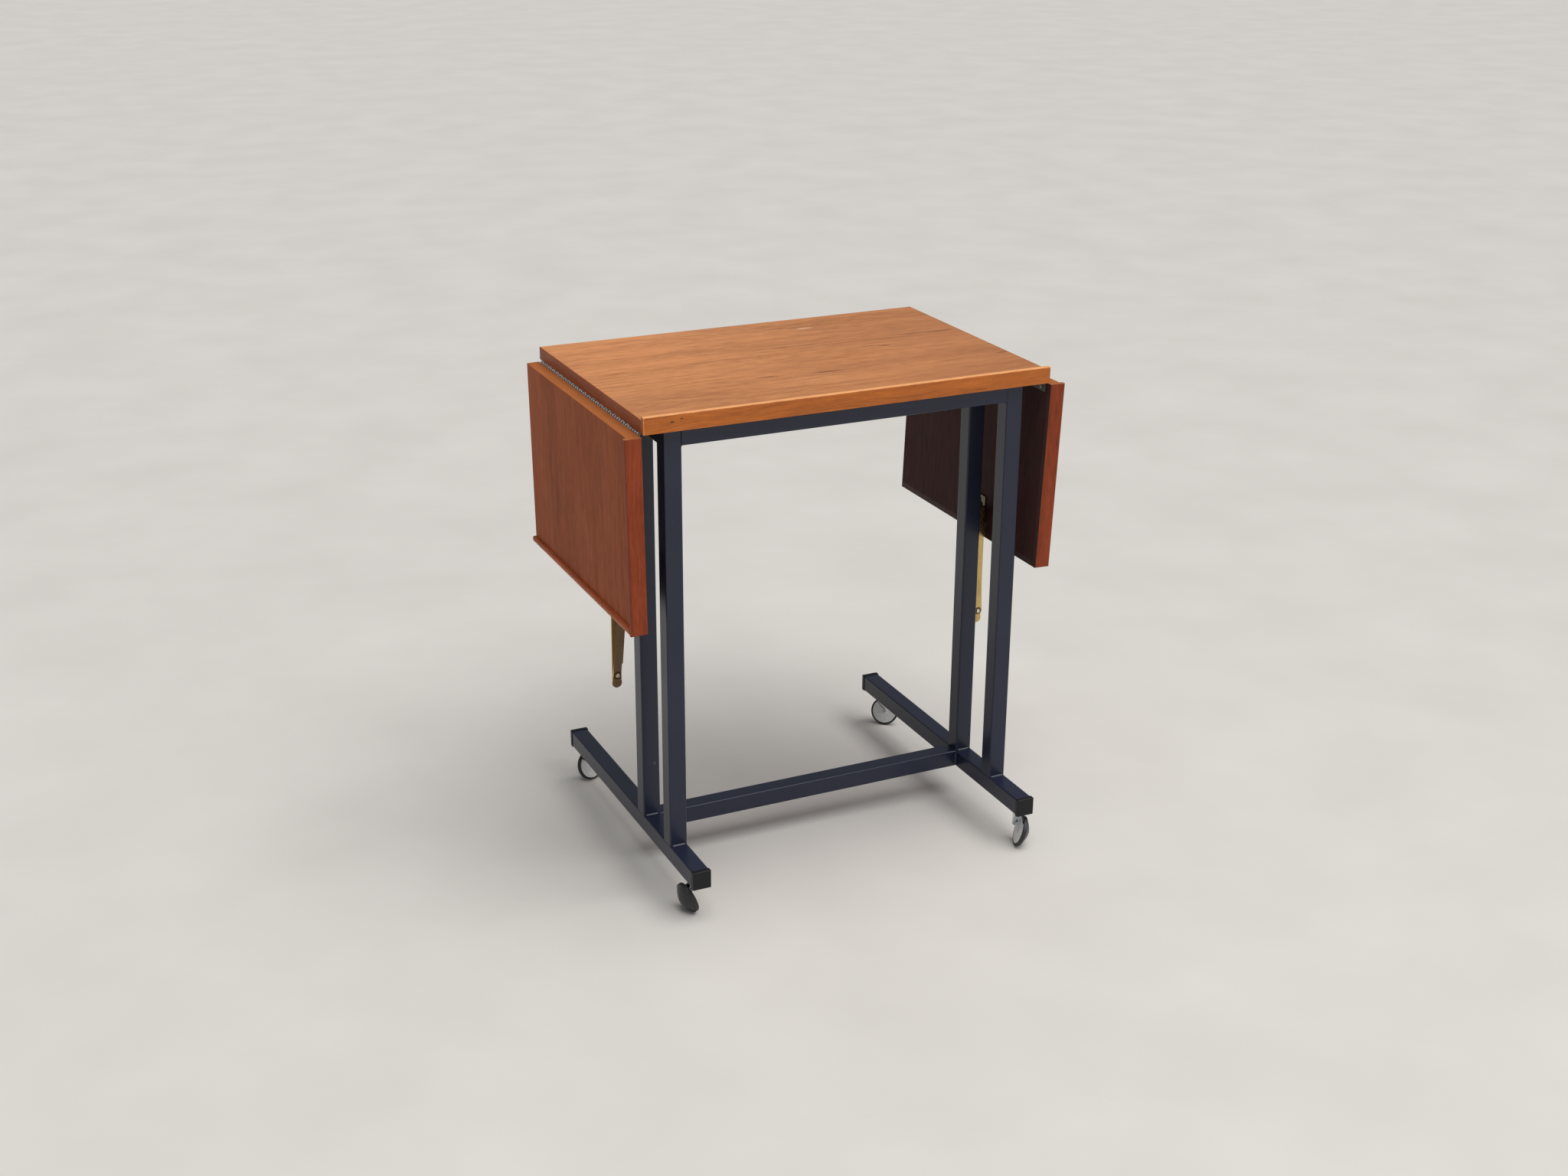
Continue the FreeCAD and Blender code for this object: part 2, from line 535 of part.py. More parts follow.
ARM_Y1 = "Dims.stay_front"
ARM_Y2 = "Dims.stay_front + Dims.strap_thick + Dims.strap_gap"
LUG_Y_FRAME = d("stay_front") - 0.3 - d("lug_thick")
LUG_Y_LEAF = d("stay_front") + 2 * d("strap_thick") + d("strap_gap") + 0.3
frame_pins, bracket_rivets = [], []
head = [(0, 0), (d("rivet_head"), 0), (d("rivet_head"), 0.5), (d("rivet_head") * 0.6, d("rivet_proud")), (0, d("rivet_proud"))]
for side in ("left", "right"):
    sg = SIGN[side]
    fz = d("frame_pivot_z_" + side)
    fx = sg * d("frame_pivot_x")
    # bracket on the outer face of the back upright: flange and lug in one bent piece
    wall_x = d("frame_half")
    lo, hi = d("frame_pivot_x") - wall_x, d("lug_half")
    ear = Part.makeBox(lo, d("lug_thick"), 2 * hi, Vector(0, 0, -hi))
    ear = ear.fuse(Part.makeCylinder(hi, d("lug_thick"), Vector(lo, 0, 0), Y))
    flange = Part.makeBox(2.0, 22.0, 2 * d("flange_half"), Vector(0, d("lug_thick") - 22.0, -d("flange_half")))
    ear = ear.fuse(flange).removeSplitter()
    ear = ear.cut(Part.makeCylinder(d("pivot"), 10, Vector(lo, -4, 0), Y))
    for dz in (-d("rivet_spread"), d("rivet_spread")):
        ear = ear.cut(Part.makeCylinder(d("rivet_shank") + 0.1, 6, Vector(-2, -d("rivet_back"), dz), X))
    if sg < 0:
        ear = ear.mirror(Vector(), X)
    feature("%s_stay_frame_bracket" % side, ear, Placement(Vector(sg * wall_x, LUG_Y_FRAME, fz) + SHIFT, Rotation()))
    # pivot of the frame arm, fixed in the lug, with a head behind the arm
    long = d("lug_thick") + 0.3 + d("strap_thick")
    pinshape = Part.makeCylinder(d("pivot"), long + 0.05, Vector(), Y)
    cap = revolved([(0, 0), (d("rivet_head"), 0), (d("rivet_head"), 0.6), (2.6, 1.3), (0, 1.3)])
    cap = moved(cap, (0, long + 0.05, 0), Rotation(X, -90))
    pinshape = pinshape.fuse(cap)
    frame_pins.append(moved(pinshape, (fx, LUG_Y_FRAME, fz)))
    for dz in (-d("rivet_spread"), d("rivet_spread")):
        inside = 2.0 + d("wall")
        r = revolved(head[1:-1] + [(0, d("rivet_proud")), (0, -inside - 1.5), (2.8, -inside - 1.5), (2.8, -inside),
                                   (d("rivet_shank"), -inside), (d("rivet_shank"), 0)])
        bracket_rivets.append(moved(r, (sg * (wall_x + 2.0), LUG_Y_FRAME - d("rivet_back"), fz + dz), Rotation(Z, Vector(sg, 0, 0))))

    notch_x = "-9.1" if side == "right" else "5.1"
    arm = strap("%s_frame_arm" % side, "Dims.frame_arm", "Dims.strap_thick", "Dims.strap_half", "0", "Dims.strap_half",
                [("0", "Dims.pivot + Dims.pivot_play")], notch_x)
    lean = -sg * d("frame_lean_" + side)
    arm.Placement = Placement(Vector(), Rotation(Y, lean))
    at(arm, "Dims.frame_pivot_x" if sg > 0 else "-Dims.frame_pivot_x", ARM_Y1, "Dims.frame_pivot_z_" + side)
    keep(arm, "%s_frame_arm" % side)
    # head of the elbow rivet, on the front of the frame arm
    foot = Vector(-math.sin(math.radians(lean)), 0, -math.cos(math.radians(lean))) * d("frame_arm")
    rv = revolved([(0, 0), (4.6, 0), (4.6, 0.35), (3.1, 0.45), (2.9, 1.2), (2.2, 1.7), (0, 1.8)])
    feature("%s_elbow_rivet" % side, rv, Placement(Vector(fx, d("stay_front"), fz) + foot + SHIFT, Rotation(X, 90)))

    # bracket on the inner face of the leaf, drawn about the hinge pin
    px, pz = -sg * d("leaf_pivot_in"), -d("leaf_pivot_down")
    reach = d("leaf_pivot_in") + d("hinge_drop")
    ear = Part.makeBox(reach, d("lug_thick"), 2 * hi, Vector(-reach, 0, -hi))
    ear = ear.fuse(Part.makeCylinder(hi - 1.0, d("lug_thick"), Vector(-reach, 0, 0), Y))
    ear = ear.cut(Part.makeBox(reach, 8, 4, Vector(-reach, -2, hi - 1.0))).cut(Part.makeBox(reach, 8, 4, Vector(-reach, -2, -hi - 3.0)))
    flange = Part.makeBox(2.0, 25.0, 2 * d("flange_half"), Vector(-2.0, 0, -d("flange_half")))
    ear = ear.fuse(flange).removeSplitter()
    ear = ear.cut(Part.makeCylinder(d("pivot"), 10, Vector(-reach, -4, 0), Y))
    for dz in (-13.0, 13.0):
        ear = ear.cut(Part.makeCylinder(1.7, 6, Vector(-4, 15.0, dz), X))
    if sg < 0:
        ear = ear.mirror(Vector(), X)
    hinge = Placement(Vector(sg * PIN_X, 0, PIN_Z) + SHIFT, TURN[side])
    seat = Placement(Vector(sg * d("hinge_drop"), LUG_Y_LEAF, pz), Rotation())
    feature("%s_stay_leaf_bracket" % side, ear, hinge.multiply(seat))
    pinshape = Part.makeCylinder(d("pivot"), d("lug_thick") + 0.3 + d("strap_thick"), Vector(px, LUG_Y_LEAF - 0.3 - d("strap_thick"), pz), Y)
    cap = moved(revolved(head), (px, LUG_Y_LEAF + d("lug_thick"), pz), Rotation(X, -90))
    feature("%s_leaf_pivot" % side, pinshape.fuse(cap), hinge)
    screws = []
    for dz in (-13.0, 13.0):
        s = revolved([(0, -1.6), (2.2, -1.4), (3.6, -0.4), (3.6, 0), (1.6, 0), (1.6, 10), (0, 12)])
        s = slotted(s, 40 + 5 * dz, 0.9, -2, -0.8)
        screws.append(moved(s, (sg * (d("hinge_drop") - 2.0), LUG_Y_LEAF + 15.0, pz + dz), Rotation(Z, Vector(sg, 0, 0))))
    feature("%s_leaf_bracket_screws" % side, Part.makeCompound(screws), hinge)

    arm = strap("%s_leaf_arm" % side, "Dims.leaf_arm", "Dims.strap_thick", "Dims.strap_half", "Dims.tail", "Dims.tail_half",
                [("0", "Dims.pivot + Dims.pivot_play")], None, True)
    lean = -sg * d("leaf_lean_" + side)
    turn = Rotation(Y, d("tilt_right") if sg > 0 else -d("tilt_left"))
    pivot = turn.multVec(Vector(px, 0, pz)) + Vector(sg * PIN_X, 0, PIN_Z)
    arm.Placement = Placement(Vector(pivot.x, d("stay_front") + d("strap_thick") + d("strap_gap"), pivot.z) + SHIFT, Rotation(Y, lean))
    keep(arm, "%s_leaf_arm" % side)

feature("frame_pivot_pins", Part.makeCompound(frame_pins), Placement(SHIFT, Rotation()))
feature("stay_bracket_rivets", Part.makeCompound(bracket_rivets), Placement(SHIFT, Rotation()))


# ---------------------------------------------------------------- casters

LEAN = math.radians(d("wheel_lean"))
A = Vector(math.cos(LEAN), 0, -math.sin(LEAN))      # wheel axis, towards the dome
U = Vector(math.sin(LEAN), 0, math.cos(LEAN))       # up along the face of the wheel
WHEEL_Z = (d("rim_wide") / 2 - d("rim_round")) * math.sin(LEAN) + (d("tread") - d("rim_round")) * math.cos(LEAN) + d("rim_round")
HUB = Vector(d("wheel_out"), -d("wheel_trail"), WHEEL_Z)


def wheel_body(name):
    body = doc.addObject("PartDesign::Body", name)
    sk = new_sketch(body, name + "_profile", "XY_Plane")
    pts = [("Dims.bore_end", "0"), ("Dims.bore_end", "Dims.axle + Dims.axle_play"),
           ("Dims.recess_floor", "Dims.axle + Dims.axle_play"), ("Dims.recess_floor", "Dims.recess"),
           ("-Dims.rim_wide / 2", "Dims.recess"), ("-Dims.rim_wide / 2", "Dims.tread"),
           ("Dims.rim_wide / 2", "Dims.tread"), ("Dims.rim_wide / 2", "Dims.dome_edge"), ("Dims.dome_high", "Dims.dome_tip"),
           ("Dims.dome_high", "0")]
    val = [(evaluate(x), evaluate(y)) for x, y in pts]
    n = len(pts)
    # the dome's arc runs from its blunt tip to the rim, with its centre behind the wheel
    tip, rim, r = Vector(*val[8], 0), Vector(*val[7], 0), d("dome_radius")
    mid, run = (tip + rim) * 0.5, rim - tip
    reach = math.sqrt(r * r - (run.Length / 2) ** 2)
    centre = mid + Vector(-run.y, run.x, 0).normalize() * reach
    first = math.atan2(tip.y - centre.y, tip.x - centre.x)
    last = math.atan2(rim.y - centre.y, rim.x - centre.x)
    for i in range(n):
        if i == 7:
            sk.addGeometry(Part.ArcOfCircle(Part.Circle(centre, Z, r), first, last), False)
        else:
            sk.addGeometry(Part.LineSegment(Vector(*val[i], 0), Vector(*val[(i + 1) % n], 0)), False)
    s7, e7 = 2, 1
    for i in range(n):
        j = (i + 1) % n
        sk.addConstraint(Sketcher.Constraint("Coincident", i, e7 if i == 7 else 2, j, s7 if j == 7 else 1))
    for i, (x, y) in enumerate(pts):
        for kind, text, value in (("DistanceX", x, val[i][0]), ("DistanceY", y, val[i][1])):
            k = sk.addConstraint(Sketcher.Constraint(kind, i, s7 if i == 7 else 1, value))
            sk.renameConstraint(k, "w%d%s" % (i, kind[-1]))
            sk.setExpression("Constraints.w%d%s" % (i, kind[-1]), text)
    k = sk.addConstraint(Sketcher.Constraint("Radius", 7, r))
    sk.renameConstraint(k, "dome")
    sk.setExpression("Constraints.dome", "Dims.dome_radius")
    rev = body.newObject("PartDesign::Revolution", name + "_turned")
    rev.Profile = sk
    rev.ReferenceAxis = (sk, ["H_Axis"])
    rev.Angle = 360
    body.Tip = rev
    doc.recompute()
    names = [("Edge%d" % i) for i, e in enumerate(rev.Shape.Edges, start=1)
             if not e.Degenerated and e.Curve.TypeId == "Part::GeomCircle" and abs(e.Curve.Radius - d("tread")) < 1e-6]
    soft = rounded(body, rev, names, "Dims.rim_round")
    doc.recompute()
    names = [("Edge%d" % i) for i, e in enumerate(soft.Shape.Edges, start=1)
             if not e.Degenerated and e.Curve.TypeId == "Part::GeomCircle" and abs(e.Curve.Radius - d("dome_tip")) < 1e-6]
    rounded(body, soft, names, "Dims.dome_tip * 0.9")
    doc.recompute()
    return body


def polar(angle, r, u):
    # point on the wheel's face: angle from straight up towards the stem, radius, depth along the axis
    a = math.radians(angle)
    return HUB + U * (r * math.cos(a)) + Y * (r * math.sin(a)) + A * u


def facets(corners, faces):
    # closed solid from named corners and flat faces with three or four sides
    made = []
    for f in faces:
        ring = [corners[k] for k in f]
        made.append(Part.Face(Part.makePolygon(ring + [ring[0]])))
    return Part.makeSolid(Part.makeShell(made))


def caster_bracket():
    # pressed disc with a wide notch; the metal of the notch stands out as a faceted horn, open on one side, that carries the stem;
    # it bulges out beside the hub and leaves a slot along the far side of the notch
    u0 = -d("rim_wide") / 2
    disc = Part.makeCylinder(d("disc"), d("disc_thick"), HUB + A * u0, A)
    first, last = -33.0, 46.0
    mid = (first + last) / 2
    notch = [polar(mid, 0.8, u0 - 3), polar(first, 34, u0 - 3), polar(last, 34, u0 - 3)]
    notch = Part.Face(Part.makePolygon(notch + [notch[0]])).extrude(A * 6)
    disc = disc.cut(notch)
    disc = disc.fuse(Part.makeCylinder(4.2, 0.9, HUB + A * (u0 + 0.4), A))
    plate_low, plate_high = 48.3, 50.3
    top = Part.makeCylinder(8.5, plate_high - plate_low, Vector(0, 0, plate_low), Z)
    face = u0 + 0.5
    edge = last - 22.0
    corners = {"a": polar(first, 3.8, face), "b": polar(first, 16.5, face), "c": polar(edge, 16.5, face), "d": polar(edge, 3.8, face),
               "e": Vector(5.5, -7.0, 49.5), "f": Vector(-2.0, -7.5, 49.5), "g": Vector(-4.0, 5.5, 49.5), "h": Vector(5.5, 7.0, 49.5),
               "i": Vector(-8.0, -14.5, 34.5)}
    sides = ["abcd", "abe", "aef", "afi", "dhc", "dgh", "dig", "ifg", "ida", "efgh", "bce", "ceh"]
    pocket = facets(corners, sides)
    middle = (corners["c"] + corners["h"]) * 0.5 + A * 2.5 + Y * 3.0
    inner = facets({k: middle + (v - middle) * 0.88 for k, v in corners.items()}, sides)
    pocket = pocket.cut(inner)
    stem = Part.makeCylinder(d("stem"), d("stem_top") - plate_low, Vector(0, 0, plate_low), Z)
    body = disc.multiFuse([pocket, top, stem]).removeSplitter()
    bore = Part.makeCylinder(d("axle"), 12, HUB + A * (u0 - 5), A)
    return body.cut(bore)


bracket_shape = caster_bracket()
if len(bracket_shape.Solids) != 1:
    raise RuntimeError("caster bracket is in %d solids" % len(bracket_shape.Solids))
u0 = -d("rim_wide") / 2
axle_shape = Part.makeCylinder(d("axle"), d("bore_end") - 0.6 - u0 + 0.1, HUB + A * (u0 - 0.1), A)
axle_shape = axle_shape.fuse(Part.makeCylinder(2.6, 0.8, HUB + A * (u0 - 0.8), A)).removeSplitter()
socket_shapes = []
for name, cx, cy in CASTERS:
    stem = Vector(evaluate(cx), evaluate(cy), 0)
    swivel = Rotation(Z, d("swivel_" + name))
    place = Placement(stem + SHIFT, swivel)
    feature("caster_%s_bracket" % name, bracket_shape.copy(), place)
    feature("caster_%s_axle" % name, axle_shape.copy(), place)
    w = wheel_body("caster_%s_wheel" % name)
    w.Placement = Placement(stem + SHIFT + swivel.multVec(HUB), swivel.multiply(Rotation(Y, d("wheel_lean"))))
    keep(w, "caster_%s_wheel" % name)
    bush = revolved([(d("stem") + d("stem_play"), d("rail_low") - d("socket_flange_thick")),
                     (d("socket_flange"), d("rail_low") - d("socket_flange_thick")), (d("socket_flange"), d("rail_low")),
                     (d("socket"), d("rail_low")), (d("socket"), d("socket_top")), (d("stem") + d("stem_play"), d("socket_top"))])
    socket_shapes.append(moved(bush, (stem.x, stem.y, 0)))
feature("caster_sockets", Part.makeCompound(socket_shapes), Placement(SHIFT, Rotation()))

# ---------------------------------------------------------------- check and write

doc.recompute()
bad = [o.Name for o in doc.Objects if "Invalid" in o.State or "Error" in o.State]
for o in nodes:
    if o.Shape.isNull() or not o.Shape.isValid() or not o.Shape.Solids:
        bad.append(o.Label)
if bad:
    raise RuntimeError("failed pieces: " + ", ".join(bad))
labels = [o.Label for o in nodes]
if len(set(labels)) != len(labels):
    raise RuntimeError("two pieces share a name")

os.makedirs("parts", exist_ok=True)
box = FreeCAD.BoundBox()
for o in nodes:
    o.Shape.exportStep("parts/%s.step" % o.Label)
    box.add(o.Shape.optimalBoundingBox(False, False))
    print("%-28s solids %2d  volume %10.1f" % (o.Label, len(o.Shape.Solids), o.Shape.Volume))
print("pieces", len(nodes), "box", [round(v, 3) for v in (box.XMin, box.XMax, box.YMin, box.YMax, box.ZMin, box.ZMax)])
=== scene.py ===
import json
import math
import random

import bmesh
import bpy
from mathutils import Matrix, Vector


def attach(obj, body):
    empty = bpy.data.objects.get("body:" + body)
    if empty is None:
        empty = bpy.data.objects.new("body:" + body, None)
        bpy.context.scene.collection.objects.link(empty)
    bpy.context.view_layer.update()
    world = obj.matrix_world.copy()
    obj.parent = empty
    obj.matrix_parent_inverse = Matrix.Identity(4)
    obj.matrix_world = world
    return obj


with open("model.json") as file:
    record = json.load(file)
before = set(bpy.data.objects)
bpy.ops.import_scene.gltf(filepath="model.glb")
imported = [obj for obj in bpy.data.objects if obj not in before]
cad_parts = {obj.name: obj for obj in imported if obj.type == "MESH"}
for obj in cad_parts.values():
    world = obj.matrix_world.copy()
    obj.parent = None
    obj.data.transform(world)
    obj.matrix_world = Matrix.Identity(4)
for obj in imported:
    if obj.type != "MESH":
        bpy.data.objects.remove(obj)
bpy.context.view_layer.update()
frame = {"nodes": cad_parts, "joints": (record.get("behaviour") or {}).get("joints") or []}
nodes = frame["nodes"]
joints = {j["name"]: j for j in frame["joints"]}

SX, SY = 0.0136, 33.0306  # middle of the board in the row frame, mm


def row(x, y, z):
    """mm from the middle of the board on the floor -> metres in the row frame."""
    return Vector(((x + SX) / 1000, (y + SY) / 1000, z / 1000))


def lin(r, g, b):
    """sRGB 0-255 -> linear colour."""
    def f(c):
        c /= 255
        return c / 12.92 if c <= 0.04045 else ((c + 0.055) / 1.055) ** 2.4
    return (f(r), f(g), f(b), 1.0)


# ------------------------------------------------------------------ node graph helper

class Graph:
    def __init__(self, name):
        self.m = bpy.data.materials.new(name)
        self.m.use_nodes = True
        self.t = self.m.node_tree
        self.t.nodes.clear()
        self.out = self.t.nodes.new("ShaderNodeOutputMaterial")
        self.b = self.t.nodes.new("ShaderNodeBsdfPrincipled")
        self.t.links.new(self.b.outputs[0], self.out.inputs[0])
        tc = self.t.nodes.new("ShaderNodeTexCoord")
        self.p = self.vm("SCALE", tc.outputs["Object"], scale=1000.0)  # mm
        self.nrm = tc.outputs["Normal"]  # the piece's own normal
        self.split()

    def split(self):
        s = self.t.nodes.new("ShaderNodeSeparateXYZ")
        self.t.links.new(self.p, s.inputs[0])
        self.x, self.y, self.z = s.outputs

    def put(self, sock, v):
        if isinstance(v, bpy.types.NodeSocket):
            self.t.links.new(v, sock)
        elif v is not None:
            sock.default_value = v

    def mt(self, op, a, b=None, c=None, clamp=False):
        n = self.t.nodes.new("ShaderNodeMath")
        n.operation = op
        n.use_clamp = clamp
        for i, v in enumerate((a, b, c)):
            if v is not None:
                self.put(n.inputs[i], v)
        return n.outputs[0]

    def vm(self, op, a, b=None, scale=None):
        n = self.t.nodes.new("ShaderNodeVectorMath")
        n.operation = op
        self.put(n.inputs[0], a)
        if b is not None:
            self.put(n.inputs[1], b)
        if scale is not None:
            n.inputs["Scale"].default_value = scale
        return n.outputs["Value"] if op in ("DOT_PRODUCT", "LENGTH", "DISTANCE") else n.outputs["Vector"]

    def xyz(self, x, y, z):
        n = self.t.nodes.new("ShaderNodeCombineXYZ")
        for i, v in enumerate((x, y, z)):
            self.put(n.inputs[i], v)
        return n.outputs[0]

    def noise(self, vec, scale=1.0, detail=2.0, rough=0.5, distortion=0.0):
        n = self.t.nodes.new("ShaderNodeTexNoise")
        self.put(n.inputs["Vector"], vec)
        n.inputs["Scale"].default_value = scale
        n.inputs["Detail"].default_value = detail
        n.inputs["Roughness"].default_value = rough
        n.inputs["Distortion"].default_value = distortion
        return n.outputs[0]

    def voronoi(self, vec, scale=1.0, feature="F1"):
        n = self.t.nodes.new("ShaderNodeTexVoronoi")
        n.feature = feature
        self.put(n.inputs["Vector"], vec)
        n.inputs["Scale"].default_value = scale
        return n.outputs["Distance"]

    def ramp(self, fac, stops, smooth=False):
        n = self.t.nodes.new("ShaderNodeValToRGB")
        cr = n.color_ramp
        cr.interpolation = "EASE" if smooth else "LINEAR"
        while len(cr.elements) > 1:
            cr.elements.remove(cr.elements[-1])
        cr.elements[0].position, cr.elements[0].color = stops[0]
        for pos, col in stops[1:]:
            e = cr.elements.new(pos)
            e.color = col
        self.put(n.inputs[0], fac)
        return n.outputs[0]

    def rng(self, v, a, b, c=0.0, d=1.0):
        n = self.t.nodes.new("ShaderNodeMapRange")
        n.interpolation_type = "SMOOTHSTEP"
        self.put(n.inputs["Value"], v)
        for key, val in (("From Min", a), ("From Max", b), ("To Min", c), ("To Max", d)):
            n.inputs[key].default_value = val
        return n.outputs["Result"]

    def mix(self, fac, a, b, blend="MIX"):
        n = self.t.nodes.new("ShaderNodeMix")
        n.data_type = "RGBA"
        n.blend_type = blend
        n.clamp_result = True
        self.put(n.inputs[0], fac)
        self.put(n.inputs[6], a)
        self.put(n.inputs[7], b)
        return n.outputs[2]

    def bump(self, height, distance, strength=1.0, normal=None):
        n = self.t.nodes.new("ShaderNodeBump")
        n.inputs["Strength"].default_value = strength
        n.inputs["Distance"].default_value = distance
        self.put(n.inputs["Height"], height)
        if normal is not None:
            self.put(n.inputs["Normal"], normal)
        return n.outputs[0]

    def near(self, point, radii):
        """0 at the point (mm, row frame), 1 at one radius from it, growing outside."""
        d = self.vm("SUBTRACT", self.p, tuple(point))
        d = self.vm("MULTIPLY", d, tuple(1.0 / r for r in radii))
        return self.vm("LENGTH", d)

    def spot(self, point, radii, soft=0.3):
        """mask that is 1 inside an ellipsoid and 0 outside it"""
        return self.rng(self.near(point, radii), 1.0 - soft, 1.0 + soft, 1.0, 0.0)

    def done(self, color=None, rough=None, metallic=None, normal=None, **fixed):
        if color is not None:
            self.put(self.b.inputs["Base Color"], color)
        if rough is not None:
            self.put(self.b.inputs["Roughness"], rough)
        if metallic is not None:
            self.put(self.b.inputs["Metallic"], metallic)
        if normal is not None:
            self.put(self.b.inputs["Normal"], normal)
        for k, v in fixed.items():
            self.b.inputs[k.replace("_", " ")].default_value = v
        return self.m


def mm(v):
    return tuple(c * 1000 for c in v)


# ------------------------------------------------------------------ wood

def shade(c, k, warm=0.0):
    """a darker or lighter neighbour of a colour; warm moves it towards red"""
    return (c[0] * k, c[1] * k * (1 - warm), c[2] * k * (1 - 1.6 * warm), 1)


def wood(name, order, mid, seed, spread=0.22, streak=0.30, rough=0.44, marks=None, edge=None, spec=0.32, open_pores=0.24):
    """order names the row axes that run along the grain, across it and through the board."""
    g = Graph(name)
    axis = {"x": g.x, "y": g.y, "z": g.z}
    l, a, b = (axis[k] for k in order)
    l = g.mt("ADD", l, 977.0 * seed)
    a = g.mt("ADD", a, 313.0 * seed)
    # the grain wanders slowly from side to side
    sway = g.noise(g.xyz(g.mt("MULTIPLY", l, 0.0046), g.mt("MULTIPLY", a, 0.011), g.mt("MULTIPLY", b, 0.011)), 1.0, 2.0, 0.5)
    a2 = g.mt("MULTIPLY_ADD", sway, 30.0, a)

    def layer(kl, ka, detail, roughness, distortion=0.0):
        return g.noise(g.xyz(g.mt("MULTIPLY", l, kl), g.mt("MULTIPLY", a2, ka), g.mt("MULTIPLY", b, ka)), 1.0, detail, roughness, distortion)

    broad = layer(0.0022, 0.013, 3.0, 0.55)
    bands = layer(0.0045, 0.085, 3.0, 0.60)
    thin = layer(0.0110, 0.50, 3.0, 0.62)
    fibre = layer(0.040, 1.9, 2.0, 0.6)
    mottle = layer(0.035, 0.130, 3.0, 0.6)
    pores = layer(0.100, 3.1, 1.0, 0.5)
    tone = g.mt("MULTIPLY", broad, 0.22)
    tone = g.mt("MULTIPLY_ADD", bands, 0.15, tone)
    tone = g.mt("MULTIPLY_ADD", thin, 0.22, tone)
    tone = g.mt("MULTIPLY_ADD", fibre, 0.24, tone)
    tone = g.mt("MULTIPLY_ADD", mottle, 0.17, tone)
    col = g.ramp(tone, [(0.38, shade(mid, 1 - 1.25 * spread, 0.05)), (0.50, shade(mid, 1.0)), (0.62, shade(mid, 1 + spread, -0.04))])
    # darker growth streaks, short and few
    s1 = g.rng(layer(0.0060, 0.24, 4.0, 0.66, 0.2), 0.60, 0.70)
    s2 = g.rng(layer(0.0120, 0.95, 3.0, 0.62), 0.62, 0.74)
    zone = g.rng(layer(0.0040, 0.016, 2.0, 0.5), 0.44, 0.62)
    line = g.mt("MAXIMUM", g.mt("MULTIPLY", s1, streak), g.mt("MULTIPLY", g.mt("MULTIPLY", s2, zone), streak * 1.3))
    col = g.mix(line, col, shade(mid, 0.45, 0.14))
    pore = g.rng(pores, 0.62, 0.72)
    col = g.mix(g.mt("MULTIPLY", pore, open_pores), col, shade(mid, 0.42, 0.12))
    if edge:
        col = edge(g, col)
    if marks:
        col = marks(g, col)
    # handled finish: patches of wax and dust change the gloss a little
    smear = g.noise(g.p, 0.018, 3.0, 0.6)
    r = g.mt("MULTIPLY_ADD", smear, 0.16, rough - 0.08)
    r = g.mt("MULTIPLY_ADD", pore, 0.16, r)
    r = g.mt("MULTIPLY_ADD", line, 0.06, r)
    h = g.mt("MULTIPLY_ADD", fibre, 0.5, g.mt("MULTIPLY", pore, -0.9))
    h = g.mt("MULTIPLY_ADD", thin, 0.35, h)
    return g.done(col, r, None, g.bump(h, 0.00010, 0.45), Specular_IOR_Level=spec)


TOP = (0.537, 0.218, 0.083, 1)
LIP = (0.450, 0.122, 0.0165, 1)
LEAF = (0.348, 0.0920, 0.0345, 1)
RIM = (0.225, 0.0435, 0.0160, 1)
# painted shade: colour of the leaves' inner face
INNER_SHADE = (0.060, 0.0252, 0.0230, 1)
# painted light: lighter orange strip along the leaves' top edge
LIT_TOP_STRIP = (0.375, 0.122, 0.0375, 1)
END = (0.385, 0.088, 0.031, 1)


def top_edge(g, col):
    # dark strip glued along the two side edges and the back edge of the board
    far = g.mt("MAXIMUM", g.mt("SUBTRACT", g.mt("ABSOLUTE", g.mt("SUBTRACT", g.x, SX)), 297.3), g.mt("SUBTRACT", g.y, 196.3 + SY))
    band = g.noise(g.vm("MULTIPLY", g.p, (0.02, 0.02, 0.9)), 1.0, 3.0, 0.6)
    strip = g.ramp(band, [(0.35, (0.270, 0.060, 0.018, 1)), (0.65, (0.400, 0.101, 0.030, 1))])
    return g.mix(g.rng(far, -0.12, 0.12), col, strip)


